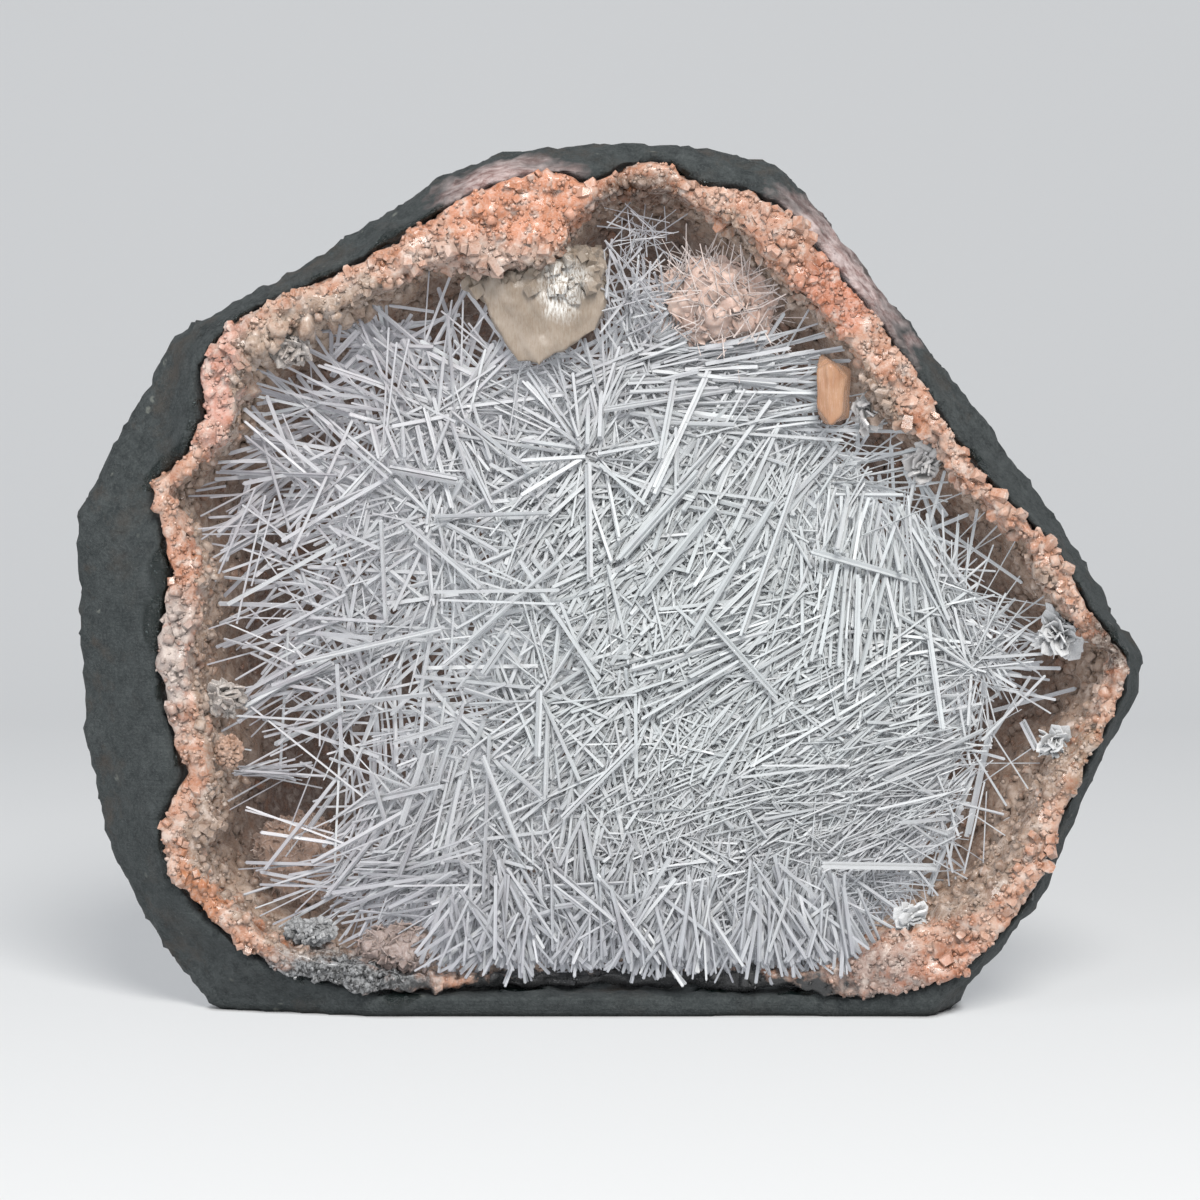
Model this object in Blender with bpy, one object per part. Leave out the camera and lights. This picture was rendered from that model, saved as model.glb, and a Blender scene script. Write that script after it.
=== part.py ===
"""Scolecite in a heulandite geode, standing upright on its cut base.

A trimmed bowl of basalt opens towards -Y. A crust of heulandite lines it, larger crystals and
mounds sit on the crust, and sprays of scolecite needles fill the hollow. Each spray is a burr
whose points reach as far as the tips of its needles. All sizes are in millimetres, and every
outline is in the XZ plane, clockwise from the left when seen from the front.
"""

import math
import random
from collections import namedtuple

import bmesh
import bpy
from mathutils import Vector, noise

MM = 0.001

# Driving sizes
MOUTH_Y = -48.0
BACK_Y = 48.0
AXIS_Z = 76.0
CHAMFER_DEPTH = 14.0
BACK_WALL = 11.0
CRUST_AT_BACK = 6.5
CRUST_LEAST = 3.5
GAP = 0.4
VUG_BACK_Y = BACK_Y - BACK_WALL
HOLLOW_BACK_Y = VUG_BACK_Y - CRUST_AT_BACK

# How finely and how squarely the bowls are rounded, and how far in front of the mouth a cutter
# begins, as a share of its depth
AROUND = 70
BOWL_SHARES = (0.18, 0.40, 0.60, 0.77, 0.90, 0.97)
BOWL_SQUARENESS = 2.35
IN_FRONT = -0.2

# The crust's inner wall swells and shrinks by this much over this distance. The swelling
# begins at nothing on the rim and is full at this share of the depth.
LUMP_HEIGHT = 3.5
LUMP_SPACING = 13.0
LUMP_FADE = 0.15

# Trimmed outline of the rock. It runs on below the base, where the saw cut takes it off.
BASALT_OUTLINE = [
    (-100.0, 94.0), (-82.0, 126.5), (-76.5, 130.0), (-49.0, 145.5), (-31.5, 156.0),
    (-23.5, 160.0), (-18.0, 161.5), (4.0, 163.5), (18.0, 162.5), (32.0, 158.5), (40.0, 150.0),
    (55.0, 131.0), (71.5, 110.5), (85.5, 91.0), (100.0, 67.5), (99.5, 60.0), (88.0, 37.0),
    (81.0, 20.0), (68.0, 4.0), (50.0, -20.0), (-56.0, -20.0), (-76.0, 2.0), (-86.0, 14.0),
    (-94.5, 31.5), (-99.0, 53.0), (-100.0, 73.5),
]

# Where rock meets crust at the mouth
VUG_OUTLINE = [
    (-83.0, 77.0), (-81.5, 87.0), (-85.5, 95.0), (-86.5, 101.0), (-82.0, 103.5), (-76.0, 106.5),
    (-75.5, 115.5), (-76.5, 125.0), (-67.5, 132.0), (-51.5, 138.5), (-37.0, 147.0),
    (-23.5, 155.0), (-11.0, 158.0), (-3.0, 155.5), (4.5, 160.0), (11.5, 160.0), (17.0, 155.0),
    (28.0, 155.0), (38.0, 145.0), (50.0, 130.5), (58.0, 118.5), (66.0, 106.0), (76.5, 94.0),
    (84.5, 88.0), (87.0, 79.0), (97.0, 68.0), (96.5, 61.5), (88.0, 44.5), (83.5, 34.0),
    (78.5, 21.5), (67.0, 8.5), (52.0, 3.5), (0.0, 4.0), (-46.0, 4.0), (-64.0, 9.5),
    (-76.0, 18.5), (-81.5, 26.0), (-85.0, 34.0), (-82.0, 39.0), (-79.0, 47.5), (-83.0, 56.5),
    (-84.5, 70.0),
]

# Where crust meets air at the mouth
HOLLOW_OUTLINE = [
    (-76.0, 78.0), (-74.0, 85.0), (-79.5, 92.0), (-82.0, 100.0), (-69.0, 107.0),
    (-69.0, 120.0), (-61.5, 127.0), (-42.0, 135.5), (-36.0, 140.5), (-19.0, 139.5),
    (-9.0, 142.0), (-4.5, 151.5), (7.0, 155.0), (16.0, 151.0), (31.5, 140.0), (39.0, 131.0),
    (45.5, 123.0), (51.0, 113.0), (61.0, 108.5), (66.0, 98.0), (78.0, 90.0), (79.0, 79.0),
    (88.0, 74.5), (93.5, 67.0), (93.0, 60.0), (84.5, 47.5), (79.5, 41.5), (72.0, 29.0),
    (67.0, 21.5), (54.5, 16.5), (42.0, 9.0), (0.0, 7.5), (-40.0, 8.5), (-60.0, 13.5),
    (-71.5, 21.5), (-76.5, 30.0), (-72.0, 36.0), (-73.0, 49.0), (-76.0, 58.0), (-78.0, 68.0),
]

# How far the needles of the main thicket reach sideways
THICKET_OUTLINE = [
    (-71.0, 78.0), (-74.0, 98.0), (-62.0, 112.0), (-46.0, 120.0), (-26.0, 122.0),
    (-15.0, 118.0), (0.0, 126.0), (14.0, 129.0), (28.0, 123.0), (42.0, 108.0), (54.0, 100.0),
    (66.0, 88.0), (72.0, 68.0), (74.0, 50.0), (70.0, 32.0), (62.0, 20.0), (48.0, 9.0),
    (0.0, 5.0), (-34.0, 7.0), (-42.0, 21.0), (-48.0, 36.0), (-60.0, 46.0), (-66.0, 60.0),
]

# The thicket's front is a dome that overhangs the rim below: how far behind the mouth each of
# its rings lies, the ring's scale, and how much farther forward it stands at the bottom
Ring = namedtuple("Ring", "behind scale overhang")
THICKET_DOME = [
    Ring(1.5, 0.3, 0.0), Ring(3.0, 0.55, 1.0), Ring(6.0, 0.76, 3.0), Ring(11.0, 0.91, 7.0),
    Ring(20.0, 1.0, 14.0), Ring(38.0, 1.0, 20.0), Ring(58.0, 1.0, 0.0), Ring(78.0, 0.86, 0.0),
]
THICKET_BACK_Y = 44.0
THICKET_FRONT_Y = MOUTH_Y + 1.0
THICKET_AROUND = 26
THICKET_SEED = 5
TIP_DEPTH = 3.0
TIP_STANDS_BACK = (0.2, 0.8)
THICKET_CLEARANCE = 0.8

# Stretches of the rim that stand back: direction in degrees, half width, and how far
Setback = namedtuple("Setback", "direction half_width depth")
SETBACKS = [Setback(-90.0, 42.0, 12.0), Setback(84.0, 14.0, 6.0), Setback(170.0, 18.0, 2.5)]

# Rings of the rock: how far back each lies, as a share of its depth, and its scale. Then how
# much that scale varies, over what distance, and how far the rock laps into the vug at first.
ROCK_RINGS = [
    (0.30, 0.995), (0.45, 0.965), (0.60, 0.895), (0.74, 0.79), (0.86, 0.645), (0.95, 0.45),
    (1.0, 0.2),
]
ROCK_ROUGHNESS = 0.03
ROCK_LUMP_SPACING = 21.0
ROCK_LAP = 1.0

# Flat faces broken off the back of the rock: which way each faces, and how much it takes
Break = namedtuple("Break", "facing depth")
BREAKS = [
    Break((0.08, 1.0, 0.12), 4.0), Break((-0.62, 0.75, 0.28), 5.0), Break((0.6, 0.78, -0.1), 5.0),
    Break((0.15, 0.62, 0.78), 4.0), Break((-0.3, 0.35, 0.9), 2.5), Break((0.75, 0.5, 0.5), 3.5),
    Break((-0.8, 0.5, -0.3), 4.0), Break((0.7, 0.45, -0.6), 3.0), Break((-0.1, 0.8, -0.6), 4.0),
    Break((-0.75, 0.25, 0.6), 2.0),
]

# Inner and outer radius of a spray's points and of a cluster's corners, and how a mound swells,
# all as shares of the clump's own radii
BURR_VALLEY = (0.64, 0.7)
BURR_TIP = (0.86, 1.0)
CLUSTER_CORNER = (0.78, 1.0)
MOUND_RADIUS = 0.93
MOUND_SWELLING = 0.09
MOUND_FINENESS = 2.6

Clump = namedtuple("Clump", "name centre radii seed")
SPRAYS = [
    Clump("scolecite_spray_upper_left", (-45.0, -24.0, 127.0), (13.0, 14.0, 8.0), 11),
    Clump("scolecite_spray_top", (6.0, -31.0, 147.0), (6.5, 9.0, 7.5), 12),
    Clump("scolecite_spray_left_wall", (-67.0, -32.0, 39.0), (11.0, 10.0, 9.0), 13),
    Clump("scolecite_spray_right_wall", (80.0, -16.0, 62.0), (9.0, 14.0, 14.0), 14),
    Clump("scolecite_spray_lower_left", (-44.0, -34.0, 21.0), (10.0, 10.0, 5.0), 15),
]
MOUNDS = [
    Clump("heulandite_mound_top_right", (20.5, -29.0, 133.5), (11.5, 13.0, 9.5), 21),
    Clump("heulandite_mound_lower_left", (-60.0, -20.0, 27.0), (9.5, 12.0, 9.0), 22),
    Clump("heulandite_lobe_lower_left", (-39.0, -37.0, 11.5), (8.5, 8.0, 5.5), 23),
]
CLUSTERS = [
    Clump("heulandite_druse_lower_left", (-57.0, -38.0, 14.0), (8.0, 7.0, 5.0), 24),
    Clump("heulandite_ledge_left", (-74.0, -36.0, 59.0), (6.5, 8.0, 4.5), 25),
    Clump("heulandite_ball_left", (-71.5, -44.0, 50.0), (4.0, 4.0, 4.0), 26),
    Clump("heulandite_cluster_upper_left", (-60.0, -41.0, 126.0), (5.5, 6.0, 5.0), 27),
    Clump("heulandite_cluster_by_blade", (48.5, -38.0, 113.0), (4.0, 6.0, 5.5), 28),
    Clump("heulandite_cluster_right", (60.5, -34.0, 104.0), (6.0, 7.0, 5.0), 29),
    Clump("heulandite_rosette_right", (84.5, -38.0, 71.5), (5.0, 5.0, 5.0), 30),
    Clump("heulandite_rosette_lower_right", (84.0, -38.0, 51.0), (4.0, 4.5, 3.6), 31),
    Clump("heulandite_pearl_lower_right", (57.0, -42.0, 17.5), (4.0, 3.5, 4.0), 32),
]

# The large pale crystal that hangs from the roof, and the honey-coloured blade, as the corners
# of their faces
PALE_CRYSTAL_CORNERS = [
    (-26.0, -40.0, 138.0), (-14.0, -44.0, 140.0), (-3.0, -43.0, 142.5), (-0.5, -41.5, 134.0),
    (-2.5, -41.0, 128.0), (-13.0, -42.0, 122.0), (-17.0, -41.0, 122.5), (-22.5, -39.0, 132.0),
    (-25.0, -28.0, 138.0), (-15.0, -28.0, 124.5), (-1.5, -27.0, 130.0), (-2.0, -26.0, 144.0),
    (-14.0, -26.0, 142.0),
]
BLADE_CORNERS = [
    (38.5, -43.0, 121.0), (41.0, -44.5, 122.0), (43.8, -43.0, 119.0), (43.0, -43.5, 112.5),
    (41.0, -44.0, 110.5), (38.5, -42.5, 114.0), (39.5, -35.0, 124.0), (45.5, -34.0, 121.0),
    (45.0, -35.0, 112.0), (40.0, -35.0, 111.0),
]

TOO_SMALL = 1e-9


def clear_scene():
    for obj in list(bpy.data.objects):
        bpy.data.objects.remove(obj)


def material(name, colour, roughness):
    """A Principled material of one colour."""
    made = bpy.data.materials.new(name)
    made.use_nodes = True
    shader = made.node_tree.nodes["Principled BSDF"]
    shader.inputs["Base Color"].default_value = (*colour, 1.0)
    shader.inputs["Roughness"].default_value = roughness
    shader.inputs["Metallic"].default_value = 0.0
    made.diffuse_color = (*colour, 1.0)
    return made


def link(name, bm, finish=None):
    """Turns a bmesh in millimetres into an object in metres. One without a finish is a helper."""
    bmesh.ops.scale(bm, vec=(MM, MM, MM), verts=bm.verts)
    mesh = bpy.data.meshes.new(name)
    bm.to_mesh(mesh)
    bm.free()
    obj = bpy.data.objects.new(name, mesh)
    bpy.context.scene.collection.objects.link(obj)
    if finish is None:
        obj.hide_render = True
        obj.display_type = "WIRE"
    else:
        mesh.materials.append(finish)
    return obj


def boolean(obj, other, operation):
    modifier = obj.modifiers.new(f"{operation.lower()}_{other.name}", "BOOLEAN")
    modifier.object = other
    modifier.operation = operation


def radius_of(outline, angle):
    """Distance from the bowl's axis to the outline, in the direction of an angle from +X."""
    direction = Vector((math.cos(angle), math.sin(angle)))
    farthest = 0.0
    for start, end in zip(outline, outline[1:] + outline[:1]):
        a = Vector((start[0], start[1] - AXIS_Z))
        side = Vector((end[0], end[1] - AXIS_Z)) - a
        turn = direction.cross(side)
        if abs(turn) < TOO_SMALL:
            continue
        along = a.cross(side) / turn
        share = a.cross(direction) / turn
        if along > 0 and -TOO_SMALL <= share <= 1 + TOO_SMALL:
            farthest = max(farthest, along)
    return farthest


def rim_y(angle):
    """How far forward the rim of the mouth stands in this direction."""
    y = MOUTH_Y
    for setback in SETBACKS:
        off = (math.degrees(angle) - setback.direction + 180) % 360 - 180
        if abs(off) < setback.half_width:
            y += setback.depth * math.cos(math.pi / 2 * off / setback.half_width) ** 2
    return y


def bowl_scale(share):
    """Radius of the bowl at a share of its depth, against its radius at the mouth."""
    return (1 - max(share, 0.0) ** BOWL_SQUARENESS) ** (1 / BOWL_SQUARENESS)


def at(radius, y, angle):
    return (radius * math.cos(angle), y, AXIS_Z + radius * math.sin(angle))


def turns(count):
    return [2 * math.pi * k / count for k in range(count)]


def loft(rings, front_y, back_y):
    """A closed bmesh through rings of points, with a point at each end on the bowl's axis."""
    bm = bmesh.new()
    loops = [[bm.verts.new(p) for p in ring] for ring in rings]
    front = bm.verts.new((0.0, front_y, AXIS_Z))
    back = bm.verts.new((0.0, back_y, AXIS_Z))
    count = len(loops[0])
    for i in range(count):
        j = (i + 1) % count
        bm.faces.new((front, loops[0][j], loops[0][i]))
        bm.faces.new((back, loops[-1][i], loops[-1][j]))
        for near, far in zip(loops, loops[1:]):
            bm.faces.new((near[i], near[j], far[j], far[i]))
    bmesh.ops.triangulate(bm, faces=bm.faces, quad_method="FIXED")
    bmesh.ops.recalc_face_normals(bm, faces=bm.faces)
    return bm


def inflate(bm, distance):
    """Moves each face of a closed bmesh outwards by about this distance."""
    bm.normal_update()
    moves = [v.normal * distance * v.calc_shell_factor() for v in bm.verts]
    for v, move in zip(bm.verts, moves):
        v.co += move


def vug_radius(angle):
    return radius_of(VUG_OUTLINE, angle)


def hollow_radius(angle):
    return min(radius_of(HOLLOW_OUTLINE, angle), vug_radius(angle) - CRUST_LEAST)


def lumps(point):
    """How far a point of the crust's inner wall stands off its even surface."""
    return LUMP_HEIGHT * noise.noise(Vector(point) / LUMP_SPACING)


def bowl(radius_at, shares, back_y, shift=None):
    """A closed blob from the mouth to back_y. A share below 0 lies in front of the mouth."""
    rings = []
    for share in shares:
        ring = []
        for angle in turns(AROUND):
            y = rim_y(angle) + share * (back_y - rim_y(angle))
            radius = radius_at(angle) * bowl_scale(share)
            if shift:
                radius += shift(at(radius, y, angle)) * min(1.0, max(share, 0.0) / LUMP_FADE)
            ring.append(at(radius, y, angle))
        rings.append(ring)
    return loft(rings, min(p[1] for p in rings[0]), back_y)


def vug():
    """The bowl that the crust fills, begun in front of the rock for a clean cut."""
    return bowl(vug_radius, (IN_FRONT, *BOWL_SHARES), VUG_BACK_Y)


def hollow():
    """The space inside the crust, also begun in front of it."""
    return bowl(hollow_radius, (IN_FRONT, 0.0, *BOWL_SHARES), HOLLOW_BACK_Y, lumps)


def room():
    """The space for whatever sits in the hollow, a gap clear of the crust."""
    bm = hollow()
    inflate(bm, -GAP)
    return bm


def rock_angle(corner):
    return math.atan2(corner[1] - AXIS_Z, corner[0])


def cut_flat(bm, point, facing):
    """Takes off what lies beyond a plane and closes the cut with a flat face."""
    everything = bm.verts[:] + bm.edges[:] + bm.faces[:]
    cut = bmesh.ops.bisect_plane(
        bm, geom=everything, plane_co=point, plane_no=facing, clear_outer=True
    )
    edges = [e for e in cut["geom_cut"] if isinstance(e, bmesh.types.BMEdge)]
    bmesh.ops.contextual_create(bm, geom=edges)


def basalt_shell(finish):
    """Rock trimmed in flat facets round its mouth, roughly broken behind, sawn flat below."""
    depth = BACK_Y - MOUTH_Y
    angles = [rock_angle(corner) for corner in BASALT_OUTLINE]
    mouth = [at(vug_radius(a) - ROCK_LAP, rim_y(a) + ROCK_LAP, a) for a in angles]
    edge = [(x, MOUTH_Y + CHAMFER_DEPTH, z) for x, z in BASALT_OUTLINE]
    rings = [mouth, edge]
    for share, scale in ROCK_RINGS:
        y = MOUTH_Y + share * depth
        ring = []
        for x, z in BASALT_OUTLINE:
            place_on_rock = Vector((x * scale, y, z * scale))
            rough = scale + ROCK_ROUGHNESS * noise.noise(place_on_rock / ROCK_LUMP_SPACING)
            ring.append((x * rough, y, AXIS_Z + (z - AXIS_Z) * rough))
        rings.append(ring)
    bm = loft(rings, MOUTH_Y + ROCK_LAP, BACK_Y)
    for broken in BREAKS:
        facing = Vector(broken.facing).normalized()
        reach = max(facing.dot(v.co) for v in bm.verts)
        cut_flat(bm, facing * (reach - broken.depth), facing)
    cut_flat(bm, (0, 0, 0), (0, 0, -1))
    bmesh.ops.recalc_face_normals(bm, faces=bm.faces)
    return link("basalt_shell", bm, finish)


def heulandite_crust(finish):
    """The crust before the hollow is taken out of it."""
    bm = bowl(vug_radius, (0.0, *BOWL_SHARES), VUG_BACK_Y)
    inflate(bm, -GAP)
    return link("heulandite_crust", bm, finish)


def thicket_rings():
    rings = []
    for level in THICKET_DOME:
        ring = []
        for angle in turns(THICKET_AROUND):
            y = MOUTH_Y + level.behind - level.overhang * max(0.0, -math.sin(angle)) ** 2
            ring.append(at(radius_of(THICKET_OUTLINE, angle) * level.scale, y, angle))
        rings.append(ring)
    return rings


def thicket(finish):
    """The main mass of needles. Each face is drawn out into a point that reaches the dome."""
    random.seed(THICKET_SEED)
    bm = loft(thicket_rings(), THICKET_FRONT_Y, THICKET_BACK_Y)
    bm.normal_update()
    tips = []
    for face in bm.faces:
        tips.append(face.normal.copy())
    poked = bmesh.ops.poke(bm, faces=bm.faces)["verts"]
    for v in [v for v in bm.verts if v not in set(poked)]:
        v.co -= v.normal * TIP_DEPTH
    for tip, outwards in zip(poked, tips):
        tip.co -= outwards * random.uniform(*TIP_STANDS_BACK)
    return link("scolecite_thicket", bm, finish)


def thicket_surroundings():
    """The thicket's own space with a gap round it, kept clear by what stands on the crust."""
    bm = loft(thicket_rings(), THICKET_FRONT_Y, THICKET_BACK_Y)
    inflate(bm, THICKET_CLEARANCE)
    return bm


def ball_of(divisions, radius_at):
    """A closed bmesh round the origin, whose radius varies with direction."""
    bm = bmesh.new()
    bmesh.ops.create_icosphere(bm, subdivisions=divisions, radius=1.0)
    for v in bm.verts:
        v.co *= radius_at(v.co)
    return bm


def place(bm, clump):
    bmesh.ops.scale(bm, vec=clump.radii, verts=bm.verts)
    bmesh.ops.translate(bm, vec=clump.centre, verts=bm.verts)
    bmesh.ops.recalc_face_normals(bm, faces=bm.faces)
    return bm


def burr(clump, finish):
    """A clump whose faces are drawn out into points, down to the valleys between them."""
    random.seed(clump.seed)
    bm = ball_of(2, lambda direction: random.uniform(*BURR_VALLEY))
    for tip in bmesh.ops.poke(bm, faces=bm.faces)["verts"]:
        tip.co = tip.co.normalized() * random.uniform(*BURR_TIP)
    return link(clump.name, place(bm, clump), finish)


def cluster(clump, finish):
    """A clump of crystals whose corners stand out unevenly."""
    random.seed(clump.seed)
    bm = ball_of(2, lambda direction: random.uniform(*CLUSTER_CORNER))
    return link(clump.name, place(bm, clump), finish)


def mound(clump, finish):
    """A rounded clump of crystals grown together."""
    away = Vector((clump.seed, 0.0, 0.0))

    def radius_at(direction):
        return MOUND_RADIUS + MOUND_SWELLING * noise.noise(direction * MOUND_FINENESS + away)

    return link(clump.name, place(ball_of(3, radius_at), clump), finish)


def crystal(name, corners, finish):
    """A solid with a flat face between each set of its outer corners."""
    bm = bmesh.new()
    for corner in corners:
        bm.verts.new(corner)
    made = bmesh.ops.convex_hull(bm, input=bm.verts)
    inside = [v for v in made["geom_interior"] if isinstance(v, bmesh.types.BMVert)]
    bmesh.ops.delete(bm, geom=inside, context="VERTS")
    bmesh.ops.recalc_face_normals(bm, faces=bm.faces)
    return link(name, bm, finish)


def main():
    clear_scene()
    basalt = material("basalt", (0.075, 0.085, 0.085), 0.85)
    heulandite = material("heulandite", (0.78, 0.50, 0.36), 0.45)
    pale_heulandite = material("pale_heulandite", (0.80, 0.72, 0.62), 0.35)
    honey = material("honey_stilbite", (0.75, 0.42, 0.24), 0.35)
    scolecite = material("scolecite", (0.86, 0.88, 0.90), 0.3)

    specimen = bpy.data.objects.new("specimen", None)
    bpy.context.scene.collection.objects.link(specimen)

    vug_cutter = link("vug_cutter", vug())
    hollow_cutter = link("hollow_cutter", hollow())
    room_guide = link("room_guide", room())
    thicket_cutter = link("thicket_cutter", thicket_surroundings())

    shell = basalt_shell(basalt)
    boolean(shell, vug_cutter, "DIFFERENCE")
    crust = heulandite_crust(heulandite)
    boolean(crust, hollow_cutter, "DIFFERENCE")
    needles = thicket(scolecite)
    boolean(needles, room_guide, "INTERSECT")

    on_crust = [burr(spray, scolecite) for spray in SPRAYS]
    on_crust += [mound(lump, heulandite) for lump in MOUNDS]
    on_crust += [cluster(clump, pale_heulandite) for clump in CLUSTERS]
    on_crust.append(crystal("pale_crystal", PALE_CRYSTAL_CORNERS, pale_heulandite))
    on_crust.append(crystal("stilbite_blade", BLADE_CORNERS, honey))
    for obj in on_crust:
        boolean(obj, room_guide, "INTERSECT")
        boolean(obj, thicket_cutter, "DIFFERENCE")
    for obj in (shell, crust, needles, *on_crust):
        obj.parent = specimen


main()
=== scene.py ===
"""Looks of the scolecite in heulandite geode, built round its solids.

Sizes are in millimetres until they become a mesh. Needles, crystals and grains are real
geometry, gathered into a few meshes, and each of those stands for the solid it fills. Places
given as px, py are in a square frame of 1200 pixels as the camera sees it, and angles in that
frame are in degrees, counted from the right towards the top.
"""

import math
import random
from collections import namedtuple

import bpy
import numpy as np
from mathutils import Matrix, Vector, noise
from mathutils.bvhtree import BVHTree


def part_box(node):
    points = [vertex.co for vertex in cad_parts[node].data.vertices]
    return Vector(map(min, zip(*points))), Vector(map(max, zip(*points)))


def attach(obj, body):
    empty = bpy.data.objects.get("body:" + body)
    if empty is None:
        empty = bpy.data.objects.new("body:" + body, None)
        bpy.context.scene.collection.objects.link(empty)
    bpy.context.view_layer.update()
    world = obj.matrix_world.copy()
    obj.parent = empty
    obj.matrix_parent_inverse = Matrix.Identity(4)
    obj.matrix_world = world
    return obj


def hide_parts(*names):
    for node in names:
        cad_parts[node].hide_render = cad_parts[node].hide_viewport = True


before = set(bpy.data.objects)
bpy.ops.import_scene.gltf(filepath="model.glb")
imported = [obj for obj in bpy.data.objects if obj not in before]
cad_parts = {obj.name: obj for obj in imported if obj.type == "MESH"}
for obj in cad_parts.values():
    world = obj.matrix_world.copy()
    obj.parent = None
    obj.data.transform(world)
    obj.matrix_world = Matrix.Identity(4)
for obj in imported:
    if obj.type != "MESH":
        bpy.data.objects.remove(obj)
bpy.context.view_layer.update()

# Vector noise is otherwise seeded by the clock
noise.seed_set(7)

MM = 0.001
FRAME_PIXELS = 1200
PIXEL = 0.187  # millimetres to a pixel of the camera's frame
AXIS_Z = 76.0  # height of the middle of the mouth
FRONT_LIMIT = -49.0  # no needle comes further forward
LOWEST_NEEDLE = 7.0
SAWN_BELOW = 0.8  # the relief stops here, above the flat base

# The camera: where it aims, how far off it stands, how far up, and its lens
AIM = Vector((-1.7, -48.0, 78.4))
CAMERA_DISTANCE = 676.5
CAMERA_ELEVATION = math.radians(3.0)
LENS = 110.0
SENSOR = 36.0
CAMERA_PLACE = AIM + CAMERA_DISTANCE * Vector(
    (0.0, -math.cos(CAMERA_ELEVATION), math.sin(CAMERA_ELEVATION))
)


def spot(px, py, y):
    """The point at this depth that the camera sees at a place in its frame."""
    reach = SENSOR / 2 / LENS
    half = FRAME_PIXELS / 2
    right = (px - half) / half * reach
    up = (half - py) / half * reach
    c, s = math.cos(CAMERA_ELEVATION), math.sin(CAMERA_ELEVATION)
    ray = Vector((right, c + up * s, -s + up * c))
    return CAMERA_PLACE + ray * ((y - CAMERA_PLACE.y) / ray.y)


def ramp(value, low, high):
    """0 up to low, 1 from high on, and straight between."""
    return min(1.0, max(0.0, (value - low) / (high - low)))


class Pile:
    """Many small closed bodies gathered for one mesh."""

    def __init__(self):
        self.verts = []
        self.faces = []
        self.strand = []
        self.triangles = 0

    def add(self, verts, faces, strand):
        first = len(self.verts)
        self.verts.extend(verts)
        self.faces.extend([tuple(first + i for i in face) for face in faces])
        self.strand.extend(strand)
        self.triangles += sum(len(face) - 2 for face in faces)

    def piece(self, name, finish, slot, node, smooth=False):
        mesh = bpy.data.meshes.new(name)
        mesh.from_pydata([v * MM for v in self.verts], [], self.faces)
        write_strand(mesh, self.strand)
        piece_of(name, mesh, finish, node, smooth)


def write_strand(mesh, values):
    """Keeps three numbers at each point, which the finishes read."""
    strand = mesh.attributes.new("strand", "FLOAT_VECTOR", "POINT")
    strand.data.foreach_set("vector", np.array(values, dtype=np.float32).ravel())


def piece_of(name, mesh, finish, node, smooth=False):
    piece = bpy.data.objects.new(name, mesh)
    bpy.context.scene.collection.objects.link(piece)
    mesh.materials.clear()
    mesh.materials.append(finish)
    mesh.polygons.foreach_set("use_smooth", [smooth] * len(mesh.polygons))
    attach(piece, "root")
    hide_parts(node)


def cad_tree(*nodes):
    """A search tree over the faces of some of the solids."""
    verts = []
    triangles = []
    for node in nodes:
        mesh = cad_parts[node].data
        mesh.calc_loop_triangles()
        first = len(verts)
        verts += [v.co / MM for v in mesh.vertices]
        triangles += [tuple(first + i for i in t.vertices) for t in mesh.loop_triangles]
    return BVHTree.FromPolygons(verts, triangles)


def places_of(mesh):
    places = np.empty(len(mesh.vertices) * 3)
    mesh.vertices.foreach_get("co", places)
    return places.reshape(-1, 3) / MM


def fine_copy(node, voxel, offset_at):
    """A copy of a CAD solid with small even faces, roughened by offset_at(place), in mm."""
    source = bpy.data.objects.new("source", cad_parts[node].data.copy())
    bpy.context.scene.collection.objects.link(source)
    remesh = source.modifiers.new("even_faces", "REMESH")
    remesh.mode = "VOXEL"
    remesh.voxel_size = voxel * MM
    depsgraph = bpy.context.evaluated_depsgraph_get()
    mesh = bpy.data.meshes.new_from_object(source.evaluated_get(depsgraph))
    bpy.data.objects.remove(source)
    places = places_of(mesh)
    normals = np.empty(len(places) * 3)
    mesh.vertex_normals.foreach_get("vector", normals)
    normals = normals.reshape(-1, 3)
    for i, place in enumerate(places):
        places[i] += normals[i] * offset_at(Vector(place))
    places[:, 2] = np.maximum(places[:, 2], 0.0)
    mesh.vertices.foreach_set("co", (places * MM).ravel())
    mesh.update()
    return mesh


def mark(mesh, value_at):
    """Keeps value_at(place) at each point."""
    write_strand(mesh, [(value_at(Vector(place)), 0.0, 0.0) for place in places_of(mesh)])


crust_tree = cad_tree("heulandite_crust")
rock_tree = cad_tree("basalt_shell")
thicket_tree = cad_tree("scolecite_thicket")
obstacle_tree = cad_tree(
    "heulandite_crust", "pale_crystal", "stilbite_blade", "heulandite_mound_top_right",
    "heulandite_mound_lower_left", "heulandite_lobe_lower_left", "heulandite_ledge_left",
    "heulandite_ball_left", "heulandite_rosette_right", "heulandite_rosette_lower_right",
)


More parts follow.
